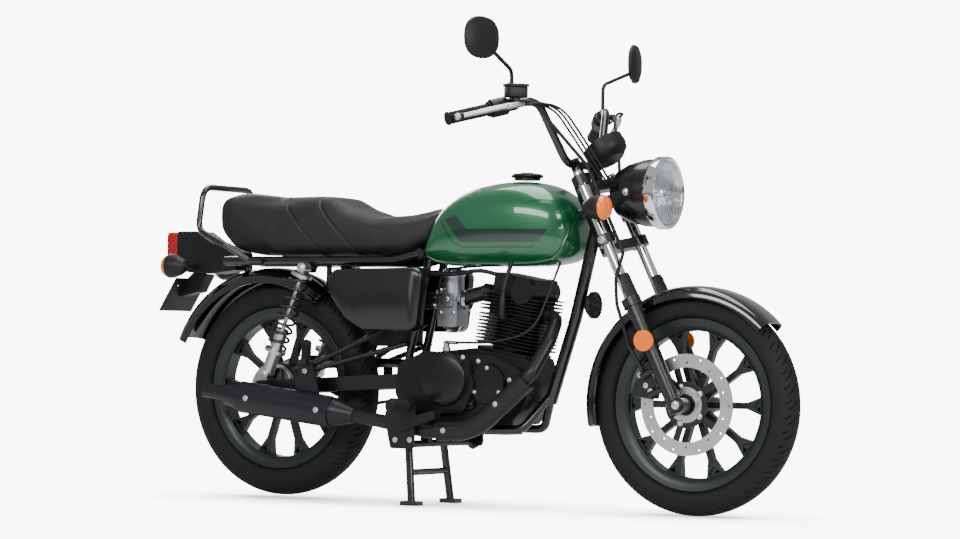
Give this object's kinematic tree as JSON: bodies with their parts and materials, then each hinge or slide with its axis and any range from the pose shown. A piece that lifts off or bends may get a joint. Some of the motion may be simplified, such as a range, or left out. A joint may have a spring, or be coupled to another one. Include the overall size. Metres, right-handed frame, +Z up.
{
  "type": "standard motorcycle",
  "caption": "Upright road motorcycle with an air-cooled engine, round headlamp, stepped seat, cast wheels, steered fork and folding stands, parked on its centre stand.",
  "frame": {"origin": "on the ground, under the middle of the bounding box", "axes": "+X forward, +Y to the rider's left, +Z up"},
  "size_m": [2.0152, 0.9782, 1.3076],
  "materials": {
    "black_paint": "gloss",
    "engine_black": "satin",
    "carb_alloy": "satin",
    "exhaust_black": "matte",
    "tank_green": "gloss",
    "gloss_black": "gloss",
    "black_plastic": "matte",
    "seat_cover": "matte",
    "red_lens": "gloss",
    "amber_lens": "gloss",
    "clear_lens": "gloss",
    "chrome": "gloss",
    "satin_steel": "satin",
    "spring_black": "gloss",
    "black_alloy": "satin",
    "wheel_grey": "satin",
    "tyre": "matte",
    "rubber": "matte"
  },
  "bodies": {
    "chassis": {"frame": "black_paint", "engine_cases": "engine_black", "engine_covers": "engine_black", "cylinder": "engine_black", "cylinder_head": "engine_black", "carburettor": "carb_alloy", "airbox": "black_plastic", "exhaust": "exhaust_black", "heat_shields": "exhaust_black", "fuel_tank": "tank_green", "fuel_cap": "gloss_black", "seat": "seat_cover", "side_covers": "gloss_black", "rear_fender": "black_paint", "tail_lamp": "gloss_black", "red_lenses": "red_lens", "rear_indicators": "gloss_black", "rear_amber_lenses": "amber_lens", "plate_bracket": "black_paint", "grab_rail": "black_paint", "swingarm": "black_paint", "shock_absorbers": "satin_steel", "shock_springs": "spring_black", "rear_axle": "satin_steel", "footrests": "black_paint", "pillion_footrests": "black_paint", "foot_controls": "black_paint", "drive_chain": "satin_steel", "chain_guard": "black_paint", "horn": "black_plastic"},
    "steering": {"yokes": "black_alloy", "fork_tubes": "chrome", "fork_sliders": "black_alloy", "handlebar": "black_paint", "hand_grips": "rubber", "hand_controls": "black_plastic", "mirrors": "gloss_black", "headlamp_bowl": "black_paint", "headlamp_rim": "chrome", "headlamp_lens": "clear_lens", "instrument": "black_plastic", "front_fender": "black_paint", "front_indicators": "gloss_black", "front_amber_lenses": "amber_lens", "brake_caliper": "black_alloy", "control_cables": "rubber", "front_axle": "satin_steel"},
    "front_wheel": {"front_tyre": "tyre", "front_wheel": "wheel_grey", "brake_disc": "satin_steel"},
    "rear_wheel": {"rear_tyre": "tyre", "rear_wheel": "wheel_grey", "rear_sprocket": "satin_steel"},
    "side_stand": {"side_stand": "black_paint"},
    "centre_stand": {"centre_stand": "black_paint"}
  },
  "joints": [
    {"name": "steering", "type": "hinge", "parent": "chassis", "child": "steering", "pos_m": [0.39971, 0, 0.78997], "axis": [-0.4384, 0, 0.8988], "range_deg": [-40, 40]},
    {"name": "front_wheel_spin", "type": "hinge", "parent": "steering", "child": "front_wheel", "pos_m": [0.71, 0, 0.296], "axis": [0, 1, 0], "continuous": true},
    {"name": "rear_wheel_spin", "type": "hinge", "parent": "chassis", "child": "rear_wheel", "pos_m": [-0.61, 0, 0.314], "axis": [0, 1, 0], "continuous": true},
    {"name": "side_stand_swing", "type": "hinge", "parent": "chassis", "child": "side_stand", "pos_m": [-0.095, 0.212, 0.171], "axis": [-0.1701, -0.8709, -0.4612], "range_deg": [0, 107.8]},
    {"name": "centre_stand_swing", "type": "hinge", "parent": "chassis", "child": "centre_stand", "pos_m": [-0.14, 0, 0.226], "axis": [0, 1, 0], "range_deg": [0, 84]}
  ]
}
